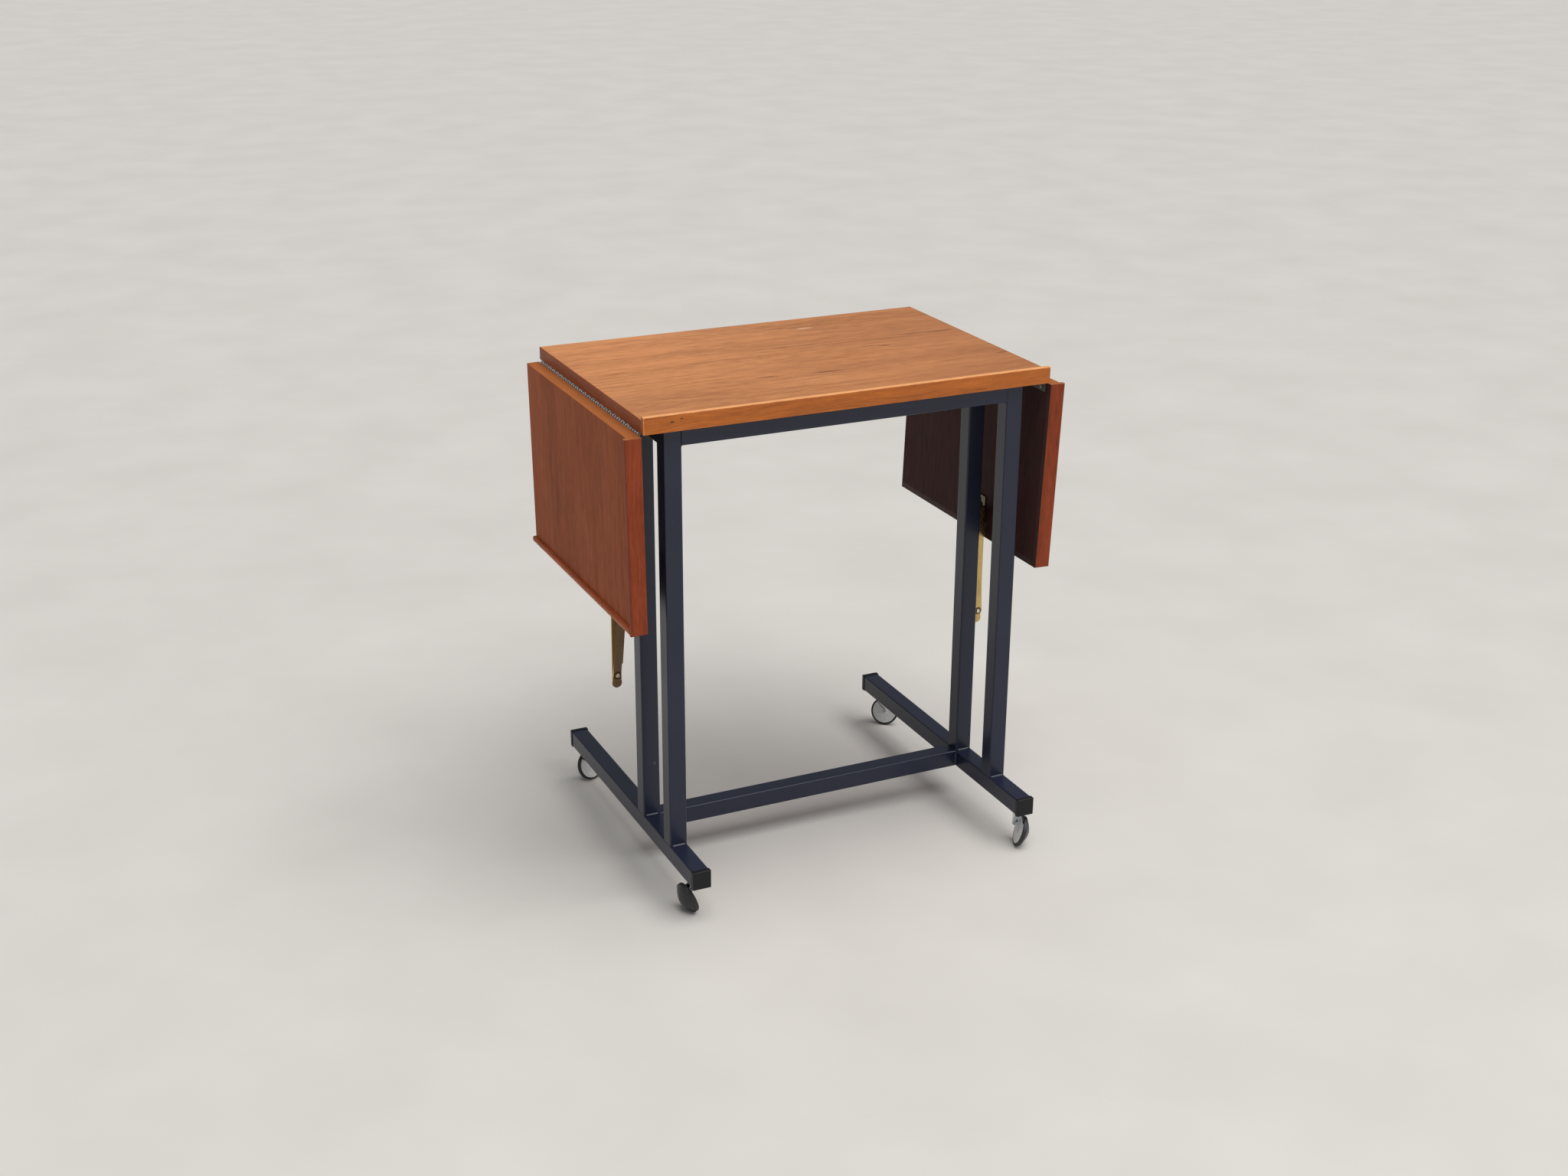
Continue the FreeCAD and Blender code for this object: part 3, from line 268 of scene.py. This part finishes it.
def top_marks(g, col):
    # one short pale scratch near the back right
    s = g.spot(mm(row(91, 140, 693)), (12.5, 2.1, 3.0), 0.40)
    col = g.mix(g.mt("MULTIPLY", s, 0.80), col, (0.84, 0.56, 0.40, 1))
    # short dark streaks along the grain, and a few dull patches
    n = g.rng(g.noise(g.vm("MULTIPLY", g.p, (0.12, 1.1, 0.5)), 1.0, 3.0, 0.65), 0.28, 0.52)
    for x, y, a, b, k in ((264, 47, 21, 2.7, 1.00), (226, 51, 15, 2.2, 0.80), (130, 11, 20, 2.0, 0.60), (153, 6, 8, 2.4, 0.95), (17, -87, 22, 2.2, 0.90),
                          (-67, -79, 12, 2.0, 0.85), (287, -95, 8, 2.2, 0.90), (201, -102, 17, 1.8, 0.60), (13, 53, 11, 1.8, 0.60)):
        s = g.spot(mm(row(x, y, 693)), (a, b, 3.0), 0.75)
        col = g.mix(g.mt("MULTIPLY", g.mt("MULTIPLY", s, n), k), col, (0.130, 0.044, 0.022, 1))
    w = g.rng(g.noise(g.p, 0.0075, 3.0, 0.55), 0.50, 0.75)
    col = g.mix(g.mt("MULTIPLY", w, 0.14), col, (0.56, 0.27, 0.130, 1))
    # darker and redder towards the right end; the front-to-back term is painted light that keeps the back of the board
    # lighter
    side = g.mt("MULTIPLY_ADD", g.noise(g.p, 0.006, 2.0, 0.5), 160.0, g.mt("SUBTRACT", g.x, 80.0))
    # painted light: less darkening towards the back of the board
    side = g.mt("MULTIPLY_ADD", g.y, -0.75, side)
    return g.mix(g.rng(side, -220.0, 400.0, 0.0, 0.44), col, (0.260, 0.088, 0.030, 1))


def lip_marks_and_corner_highlight(g, col):
    for x, z, r in ((-259, 688, 1.5), (-246, 691, 1.2)):
        s = g.spot(mm(row(x, -205, z)), (r * 1.7, 2.5, r * 0.8), 0.4)
        col = g.mix(g.mt("MULTIPLY", s, 0.85), col, (0.035, 0.016, 0.010, 1))
    # painted highlight: a pale patch on the top-left corner of the lip
    wear_and_painted_highlight = g.mt("MULTIPLY", g.rng(g.mt("SUBTRACT", g.x, -298.0 + SX), 0.4, 1.8, 1.0, 0.0), g.rng(g.mt("SUBTRACT", g.y, -205.0 + SY), 0.6, 2.2, 1.0, 0.0))
    return g.mix(g.mt("MULTIPLY", wear_and_painted_highlight, 0.45), col, (0.83, 0.385, 0.150, 1))


def lip_arris_highlight(top_axis, level, reach, tint, amount):
    """painted highlight: a paler arris near a level (mm) on one axis"""
    def f(g, col):
        v = {"x": g.x, "y": g.y, "z": g.z}[top_axis]
        d = g.mt("ABSOLUTE", g.mt("SUBTRACT", v, level))
        d = g.mt("MULTIPLY_ADD", g.noise(g.p, 0.06, 2.0, 0.6), reach * 0.9, g.mt("SUBTRACT", d, reach * 0.45))
        return g.mix(g.mt("MULTIPLY", g.rng(d, 0.0, reach, 1.0, 0.0), amount), col, tint)
    return f


def inner_face(side, wear_and_painted_highlight=False):
    """the face that lies under the open leaf, painted darker than the show face as painted shade; measured from the
    hinge pin along the leaf's thickness
    """
    lean = math.radians(2.1 if side == "right" else -0.7)
    sg = 1.0 if side == "right" else -1.0
    pin = mm(row(sg * 298.5, 0, 672.8))
    def f(g, col):
        through = g.vm("DOT_PRODUCT", g.vm("SUBTRACT", g.p, pin), (math.cos(lean) * sg, 0.0, -math.sin(lean) * sg))
        # painted shade: the leaf's inner face is coloured very dark
        n = g.noise(g.vm("MULTIPLY", g.p, (0.3, 0.3, 0.02)), 1.0, 3.0, 0.6)
        dark = g.ramp(n, [(0.35, shade(INNER_SHADE, 0.80)), (0.65, shade(INNER_SHADE, 1.15))])
        col = g.mix(g.rng(through, 2.32, 2.42, 1.0, 0.0), col, dark)
        down = g.vm("DOT_PRODUCT", g.vm("SUBTRACT", g.p, pin), (-math.sin(lean), 0.0, -math.cos(lean)))
        # painted light: a lighter, more orange strip along the leaf's top edge
        n2 = g.noise(g.vm("MULTIPLY", g.p, (0.9, 0.02, 0.9)), 1.0, 3.0, 0.6)
        strip = g.ramp(n2, [(0.35, shade(LIT_TOP_STRIP, 0.82)), (0.65, shade(LIT_TOP_STRIP, 1.12))])
        col = g.mix(g.rng(down, 0.75, 0.95, 1.0, 0.0), col, strip)
        if wear_and_painted_highlight:
            # painted highlight: a pale orange line along the end lip's lower outer arris
            n3 = g.rng(g.noise(g.vm("MULTIPLY", g.p, (0.2, 0.10, 0.2)), 1.0, 3.0, 0.65), 0.36, 0.56)
            arris = g.mt("MULTIPLY", g.rng(down, 265.2, 266.6), g.rng(through, 22.2, 23.6))
            col = g.mix(g.mt("MULTIPLY", g.mt("MULTIPLY", arris, n3), 0.85), col, (0.83, 0.37, 0.130, 1))
        if side == "right":
            for y in (-156, -164):
                s = g.spot(mm(row(293.5, y, 491)), (6.0, 1.1, 1.1), 0.3)
                col = g.mix(g.mt("MULTIPLY", s, 0.9), col, (0.012, 0.008, 0.008, 1))
        return col
    return f


materials = {}
materials["top_panel"] = wood("teak_top", "xyz", TOP, 1.0, 0.38, 0.30, 0.48, top_marks, top_edge, 0.26, 0.22)
# the front lip gets a painted highlight along its top arris and at its top-left corner
materials["top_front_lip"] = wood("teak_front_lip", "xzy", LIP, 2.3, 0.32, 0.45, 0.40, lip_marks_and_corner_highlight,
                                  lip_arris_highlight("z", 698.0, 1.5, (0.83, 0.385, 0.150, 1), 0.92))
materials["left_leaf_panel"] = wood("teak_left_leaf", "zyx", LEAF, 3.1, 0.34, 0.13, 0.54, None, inner_face("left"), 0.05, 0.16)
materials["right_leaf_panel"] = wood("teak_right_leaf", "zyx", LEAF, 4.7, 0.34, 0.13, 0.54, None, inner_face("right"), 0.05, 0.16)
for k, side in enumerate(("left", "right")):
    materials[side + "_leaf_front_lip"] = wood("teak_%s_leaf_front_lip" % side, "zxy", RIM, 5.2 + k, 0.46, 0.26, 0.42, None, inner_face(side), 0.12)
    materials[side + "_leaf_end_lip"] = wood("teak_%s_leaf_end_lip" % side, "yxz", END, 7.4 + k, 0.40, 0.30, 0.42, None, inner_face(side, True), 0.12)


# ------------------------------------------------------------------ metals, paint, plastics

def paint():
    g = Graph("frame_enamel")
    cloud = g.noise(g.p, 0.012, 3.0, 0.55)
    col = g.ramp(cloud, [(0.30, (0.0088, 0.0122, 0.0310, 1)), (0.70, (0.0120, 0.0163, 0.0405, 1))])
    # rubbed dust in long faint streaks, and fine specks
    dust = g.rng(g.noise(g.vm("MULTIPLY", g.p, (0.11, 0.11, 0.018)), 1.0, 4.0, 0.65), 0.50, 0.78)
    col = g.mix(g.mt("MULTIPLY", dust, 0.05), col, (0.045, 0.050, 0.066, 1))
    speck = g.rng(g.voronoi(g.p, 0.11), 0.055, 0.085, 1.0, 0.0)
    pick = g.rng(g.noise(g.p, 0.021, 2.0, 0.5), 0.56, 0.62)
    speck = g.mt("MULTIPLY", speck, pick)
    col = g.mix(g.mt("MULTIPLY", speck, 0.35), col, (0.11, 0.108, 0.105, 1))
    chip = g.spot(mm(row(-248, -91.5, 157)), (1.4, 3.0, 2.2), 0.35)
    col = g.mix(g.mt("MULTIPLY", chip, 0.45), col, (0.16, 0.15, 0.14, 1))
    peel = g.noise(g.p, 0.55, 2.0, 0.5)
    r = g.mt("MULTIPLY_ADD", cloud, 0.08, 0.25)
    r = g.mt("MULTIPLY_ADD", dust, 0.05, r)
    return g.done(col, r, None, g.bump(peel, 0.00002, 0.5), Specular_IOR_Level=0.42)


def plastic(name, base, lo, hi, grain=1.6, depth=0.00006):
    g = Graph(name)
    n = g.noise(g.p, 0.05, 3.0, 0.6)
    col = g.ramp(n, [(0.3, tuple(c * 0.8 for c in base) + (1,)), (0.7, tuple(c * 1.25 for c in base) + (1,))])
    scuff = g.rng(g.noise(g.vm("MULTIPLY", g.p, (0.5, 0.5, 0.12)), 1.0, 4.0, 0.7), 0.60, 0.76)
    col = g.mix(g.mt("MULTIPLY", scuff, 0.16), col, (0.045, 0.045, 0.050, 1))
    r = g.mt("MULTIPLY_ADD", n, hi - lo, lo)
    r = g.mt("MULTIPLY_ADD", scuff, 0.12, r)
    return g.done(col, r, None, g.bump(g.noise(g.p, grain, 2.0, 0.5), depth, 0.6), Specular_IOR_Level=0.34)


def metal(name, base, tarnish, lo, hi, stretch=(1, 1, 1), amount=0.5, grain=1.4, depth=0.000008, extra=None, metallic=1.0):
    g = Graph(name)
    brush = g.noise(g.vm("MULTIPLY", g.p, tuple(grain * s for s in stretch)), 1.0, 3.0, 0.6)
    cloud = g.noise(g.p, 0.05, 4.0, 0.6)
    fleck = g.rng(g.noise(g.p, 0.45, 3.0, 0.6), 0.62, 0.74)
    t = g.rng(cloud, 0.42, 0.72)
    col = g.mix(g.mt("MULTIPLY", t, amount), base, tarnish)
    col = g.mix(g.mt("MULTIPLY", fleck, amount * 0.18), col, tuple(c * 0.6 for c in tarnish[:3]) + (1,))
    r = g.mt("MULTIPLY_ADD", brush, hi - lo, lo)
    r = g.mt("MULTIPLY_ADD", t, 0.08, r)
    if extra:
        col, r = extra(g, col, r)
    return g.done(col, r, metallic, g.bump(brush, depth, 0.5))


def knuckles(side):
    """bright rubbed knuckles round the pin; painted shade darkens the steel away from it and at the knuckle ends"""
    px, _, pz = mm(row((298.5 if side == "right" else -298.5), 0, 672.8))
    y0 = -192.0 + SY
    def f(g, col, r):
        d = g.vm("LENGTH", g.vm("MULTIPLY", g.vm("SUBTRACT", g.p, (px, 0.0, pz)), (1.0, 0.0, 1.0)))
        flat = g.rng(d, 2.0, 2.6)
        wrap = g.mt("MODULO", g.mt("SUBTRACT", g.y, y0), 7.95)
        end = g.rng(g.mt("ABSOLUTE", g.mt("SUBTRACT", wrap, 3.975)), 2.0, 2.8)
        # painted shade: dark colour on the hinge leaves away from the pin and at the knuckle ends
        col = g.mix(g.mt("MULTIPLY", g.mt("MAXIMUM", flat, end), 0.88), col, (0.045, 0.042, 0.038, 1))
        return col, g.mt("MULTIPLY_ADD", flat, 0.16, r)
    return f


def rings(points):
    """dark ring round each rivet (mm) on the front bar, and painted highlight: bright brass on the side edges of the
    bar
    """
    def f(g, col, r):
        # painted highlight: faces turned sideways, not to the front or back, are painted bright brass
        edge_glint = g.rng(g.mt("ABSOLUTE", g.vm("DOT_PRODUCT", g.nrm, (0.0, 1.0, 0.0))), 0.35, 0.65, 1.0, 0.0)
        col = g.mix(g.mt("MULTIPLY", edge_glint, 0.80), col, (0.83, 0.60, 0.215, 1))
        for p in points:
            d = g.near(p, (1.0, 3.0, 1.0))
            ring = g.mt("MULTIPLY", g.rng(d, 3.2, 4.4), g.rng(d, 5.2, 6.4, 1.0, 0.0))
            col = g.mix(g.mt("MULTIPLY", ring, 0.85), col, (0.055, 0.040, 0.022, 1))
        return col, r
    return f


def rivet_face(points):
    """bright rubbed middle and a dark skirt"""
    def f(g, col, r):
        for p in points:
            d = g.near(p, (1.0, 6.0, 1.0))
            col = g.mix(g.mt("MULTIPLY", g.mt("MULTIPLY", g.rng(d, 2.7, 3.3), g.rng(d, 6.0, 7.0, 1.0, 0.0)), 0.9), col, (0.050, 0.036, 0.020, 1))
        return col, r
    return f


def elbow(side):
    """middle of the elbow rivet in the row frame, mm"""
    sg = 1.0 if side == "right" else -1.0
    lean = math.radians(2.6747 if side == "right" else 4.8632)
    z = 458.02 if side == "right" else 457.294
    return mm(row(sg * (275.5 + math.sin(lean) * 169.0), -66.0, z - math.cos(lean) * 169.0))


ELBOWS = [elbow("left"), elbow("right")]
enamel = paint()
cap_black = plastic("cap_plastic", (0.0022, 0.0022, 0.0045), 0.34, 0.50)
nickel = {s: metal("hinge_nickel_" + s, (0.82, 0.81, 0.78, 1), (0.46, 0.44, 0.40, 1), 0.18, 0.34, (1, 0.08, 1), 0.45, extra=knuckles(s), metallic=0.6) for s in ("left", "right")}
pin_steel = metal("hinge_pin_steel", (0.16, 0.15, 0.14, 1), (0.07, 0.06, 0.05, 1), 0.30, 0.50, (1, 0.1, 1), 0.6)
screw_metal = metal("screw_plated", (0.66, 0.64, 0.60, 1), (0.34, 0.30, 0.25, 1), 0.24, 0.46, (1, 1, 1), 0.5)
# one brass for both stays; the left copy is painted darker, as painted shade
brass = {"right": metal("stay_brass_right", (0.60, 0.43, 0.170, 1), (0.40, 0.265, 0.105, 1), 0.20, 0.32, (1, 1, 0.05), 0.45, extra=rings(ELBOWS)),
         "left": metal("stay_brass_left_painted_shade", (0.245, 0.166, 0.098, 1), (0.138, 0.090, 0.054, 1), 0.24, 0.38, (1, 1, 0.05), 0.55, extra=rings(ELBOWS))}
rivet = metal("rivet_brass", (0.80, 0.70, 0.48, 1), (0.46, 0.36, 0.20, 1), 0.18, 0.34, (1, 1, 1), 0.35, extra=rivet_face(ELBOWS))
bronze = metal("bracket_bronze", (0.150, 0.125, 0.085, 1), (0.060, 0.050, 0.038, 1), 0.22, 0.42, (1, 1, 1), 0.6)
zinc = metal("axle_zinc", (0.60, 0.60, 0.60, 1), (0.33, 0.31, 0.28, 1), 0.25, 0.45, (1, 1, 1), 0.5)


def plated(name, joint):
    """caster bracket: bright plating on the horn, worn and cloudy on the flat disc, measured from its own axle"""
    g = Graph(name)
    hub, ax = Vector(joint["pos_m"]) * 1000, Vector(joint["axis"]).normalized()
    along = g.vm("DOT_PRODUCT", g.vm("SUBTRACT", g.p, tuple(hub)), tuple(ax))
    disc = g.rng(g.mt("ABSOLUTE", along), 3.5, 3.9, 1.0, 0.0)
    n = g.noise(g.p, 0.28, 4.0, 0.62)
    fine = g.noise(g.p, 1.1, 3.0, 0.6)
    bright = g.ramp(n, [(0.35, (0.84, 0.85, 0.86, 1)), (0.60, (0.95, 0.955, 0.965, 1))])
    wear_and_painted_highlight = g.ramp(g.mt("MULTIPLY_ADD", fine, 0.4, g.mt("MULTIPLY", n, 0.6)), [(0.38, (0.68, 0.675, 0.66, 1)), (0.60, (0.94, 0.935, 0.925, 1))])
    col = g.mix(disc, bright, wear_and_painted_highlight)
    r = g.mt("MULTIPLY_ADD", disc, 0.22, g.mt("MULTIPLY_ADD", n, 0.12, 0.06))
    m = g.mt("MULTIPLY_ADD", disc, -0.55, 1.0)
    return g.done(col, r, m, g.bump(fine, 0.000004, 0.5))


def wheel(name, joint):
    """black domed disc: moulded rings on the dome and a duller tread, measured from its own axle"""
    g = Graph(name)
    hub, ax = Vector(joint["pos_m"]) * 1000, Vector(joint["axis"]).normalized()
    rel = g.vm("SUBTRACT", g.p, tuple(hub))
    along = g.vm("DOT_PRODUCT", rel, tuple(ax))
    flat = g.vm("SUBTRACT", rel, g.vm("MULTIPLY", g.xyz(along, along, along), tuple(ax)))
    rad = g.vm("LENGTH", flat)
    n = g.noise(g.p, 0.09, 3.0, 0.6)
    col = g.ramp(n, [(0.3, (0.0110, 0.0110, 0.0132, 1)), (0.7, (0.0180, 0.0180, 0.0212, 1))])
    tread = g.rng(rad, 20.9, 21.4)
    dusty = g.rng(g.noise(g.p, 0.33, 4.0, 0.7), 0.42, 0.70)
    col = g.mix(g.mt("MULTIPLY", tread, g.mt("MULTIPLY_ADD", dusty, 0.10, 0.01)), col, (0.085, 0.082, 0.080, 1))
    scr = g.rng(g.noise(g.xyz(g.mt("MULTIPLY", rad, 1.6), g.mt("MULTIPLY", along, 0.6), n), 1.0, 4.0, 0.7), 0.58, 0.72)
    col = g.mix(g.mt("MULTIPLY", scr, 0.18), col, (0.045, 0.045, 0.048, 1))
    ring = g.rng(g.mt("ABSOLUTE", g.mt("SUBTRACT", rad, 18.6)), 0.15, 0.55, 1.0, 0.0)
    h = g.mt("MULTIPLY", ring, -1.0)
    h = g.mt("MULTIPLY_ADD", g.noise(g.p, 1.2, 2.0, 0.5), 0.10, h)
    r = g.mt("MULTIPLY_ADD", n, 0.14, 0.24)
    r = g.mt("MULTIPLY_ADD", tread, 0.22, r)
    return g.done(col, r, None, g.bump(h, 0.00020, 0.5), Specular_IOR_Level=0.5)


for n in nodes:
    if n in materials:
        continue
    if n.endswith("_upright") or n.endswith("_rail") or n == "floor_stretcher":
        materials[n] = enamel
    elif n == "rail_end_caps":
        materials[n] = cap_black
    elif n == "caster_sockets" or n.endswith("_axle"):
        materials[n] = zinc
    elif "screws" in n:
        materials[n] = screw_metal
    elif n.endswith("_hinge_pin"):
        materials[n] = pin_steel
    elif "_hinge_" in n:
        materials[n] = nickel[n.split("_")[0]]
    elif "rivet" in n or "pivot" in n:
        materials[n] = rivet
    elif "_stay_" in n:
        materials[n] = bronze
    elif "_arm" in n:
        materials[n] = brass[n.split("_")[0]]
    elif n.endswith("_bracket"):
        materials[n] = plated("plated_" + n[7:-8], joints[n[:-8] + "_roll"])
    elif n.endswith("_wheel"):
        materials[n] = wheel("wheel_" + n[7:-6], joints[n[:-6] + "_roll"])

for n, m in materials.items():
    o = nodes[n]
    o.data.materials.clear()
    o.data.materials.append(m)


# ------------------------------------------------------------------ weld beads on the tube frame

rand = random.Random(7)


def bead(name, start, run, across, up, length, leg, crown=1.0):
    """small fillet weld: runs from start along run; its two legs lie on the faces that across and up point along"""
    bm = bmesh.new()
    steps, arc = max(10, int(length / 0.9)), 5
    rings = []
    phase = rand.random() * 6.28
    for i in range(steps + 1):
        f = i / steps
        ripple = 1.0 + 0.10 * math.sin(f * length * 2.6 + phase) + rand.uniform(-0.05, 0.05)
        end = min(1.0, min(f, 1 - f) * length / 2.2)
        size = leg * ripple * (0.35 + 0.65 * math.sqrt(max(end, 0.0)))
        ring = [Vector(start) + run * (f * length) - across * 0.15 - up * 0.15]
        for k in range(arc + 1):
            t = math.pi / 2 * k / arc
            swell = 1.0 - 0.30 * math.sin(2 * t) * (1.6 - crown)
            ring.append(Vector(start) + run * (f * length) + across * (size * math.cos(t) * swell) + up * (size * math.sin(t) * swell))
        rings.append([bm.verts.new(v) for v in ring])
    n = arc + 2
    for a, b in zip(rings, rings[1:]):
        for k in range(n):
            bm.faces.new((a[k], a[(k + 1) % n], b[(k + 1) % n], b[k]))
    bm.faces.new(rings[0][::-1])
    bm.faces.new(rings[-1])
    bmesh.ops.recalc_face_normals(bm, faces=bm.faces)
    me = bpy.data.meshes.new(name)
    bm.to_mesh(me)
    bm.free()
    for p in me.polygons:
        p.use_smooth = True
    me.transform(Matrix.Scale(0.001, 4))
    o = bpy.data.objects.new(name, me)
    bpy.context.scene.collection.objects.link(o)
    me.materials.append(enamel)
    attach(o, "frame")
    return o


EX, EY, EZ = Vector((1, 0, 0)), Vector((0, 1, 0)), Vector((0, 0, 1))


def P(x, y, z):
    return Vector((x + SX, y + SY, z))


LEG = 2.6
for sg, side in ((-1, "left"), (1, "right")):
    x0 = 242.0 if sg > 0 else -264.0
    for tag, y, sy in (("front_post_front", -190.5, -1), ("front_post_back", -165.5, 1), ("back_post_front", -91.5, -1), ("back_post_back", -66.5, 1)):
        bead("weld_%s_%s" % (side, tag), P(x0, y, 77), EX, EY * sy, EZ, 22.0, LEG)
    for tag, y, sy in (("front", -91.5, -1), ("back", -66.5, 1)):
        bead("weld_%s_stretcher_%s" % (side, tag), P(sg * 240.5, y, 53.5), EZ, EY * sy, EX * -sg, 22.0, LEG)
        bead("weld_%s_top_rail_%s" % (side, tag), P(x0, y, 650), EX, EY * sy, -EZ, 22.0, LEG * 0.85)
    bead("weld_%s_front_rail" % side, P(sg * 240.5, -189, 650), EY, EX * -sg, -EZ, 22.0, LEG * 0.9)
    bead("weld_%s_side_rail" % side, P(x0, -165.5, 650), EX, EY, -EZ, 22.0, LEG * 0.9)


# ------------------------------------------------------------------ floor, light, camera

def floor_material():
    g = Graph("studio_floor")
    n = g.noise(g.p, 0.004, 3.0, 0.5)
    col = g.ramp(n, [(0.3, (0.600, 0.580, 0.555, 1)), (0.7, (0.640, 0.620, 0.595, 1))])
    return g.done(col, 0.62, None, g.bump(g.noise(g.p, 0.2, 3.0, 0.5), 0.0001, 0.15), Specular_IOR_Level=0.25)


me = bpy.data.meshes.new("floor")
S = 40.0
me.from_pydata([(-S, -S, 0), (S, -S, 0), (S, S, 0), (-S, S, 0)], [], [(0, 1, 2, 3)])
floor = bpy.data.objects.new("floor", me)
bpy.context.scene.collection.objects.link(floor)
me.materials.append(floor_material())

world = bpy.data.worlds.new("studio")
bpy.context.scene.world = world
world.use_nodes = True
bg = world.node_tree.nodes["Background"]
bg.inputs[0].default_value = (0.93, 0.965, 1.0, 1)
bg.inputs[1].default_value = 0.24


def area(name, at, to, size, power, color=(1, 1, 1)):
    light = bpy.data.lights.new(name, "AREA")
    light.shape = "RECTANGLE"
    light.size, light.size_y = size
    light.energy = power
    light.color = color
    o = bpy.data.objects.new(name, light)
    bpy.context.scene.collection.objects.link(o)
    o.location = at
    o.rotation_euler = (Vector(to) - Vector(at)).to_track_quat("-Z", "Y").to_euler()
    return o


def sun(name, toward, power, spread, color=(1, 1, 1)):
    light = bpy.data.lights.new(name, "SUN")
    light.energy = power
    light.angle = math.radians(spread)
    light.color = color
    o = bpy.data.objects.new(name, light)
    bpy.context.scene.collection.objects.link(o)
    o.rotation_euler = Vector(toward).to_track_quat("-Z", "Y").to_euler()
    return o


sun("overhead", (-0.20, 0.26, -1.0), 2.85, 60.0, (1.0, 0.985, 0.955))
area("front", (0.9, -3.2, 1.9), (0, 0, 0.5), (2.4, 1.6), 19, (1.0, 0.975, 0.94))

cam_data = bpy.data.cameras.new("camera")
cam = bpy.data.objects.new("camera", cam_data)
bpy.context.scene.collection.objects.link(cam)
bpy.context.scene.camera = cam
cam_data.sensor_fit = "HORIZONTAL"
cam_data.sensor_width = 36.0
cam_data.lens = 2632.923 * 36.0 / 2048.0
cam_data.clip_start, cam_data.clip_end = 0.05, 200.0
cam_data.dof.use_dof = False
yaw, pitch, roll = math.radians(25.2174), math.radians(-21.5248), math.radians(0.33464)
fwd = Vector((math.sin(yaw) * math.cos(pitch), math.cos(yaw) * math.cos(pitch), math.sin(pitch)))
right = Vector((math.cos(yaw), -math.sin(yaw), 0))
up = right.cross(fwd)
r2 = right * math.cos(roll) + up * math.sin(roll)
u2 = up * math.cos(roll) - right * math.sin(roll)
m = Matrix((r2, u2, -fwd)).transposed().to_4x4()
m.translation = row(-1167.634, -2467.231, 731.531 + 693.0)
cam.matrix_world = m

view = bpy.context.scene.view_settings
view.view_transform = "Standard"
view.look = "None"
view.exposure = 0.0
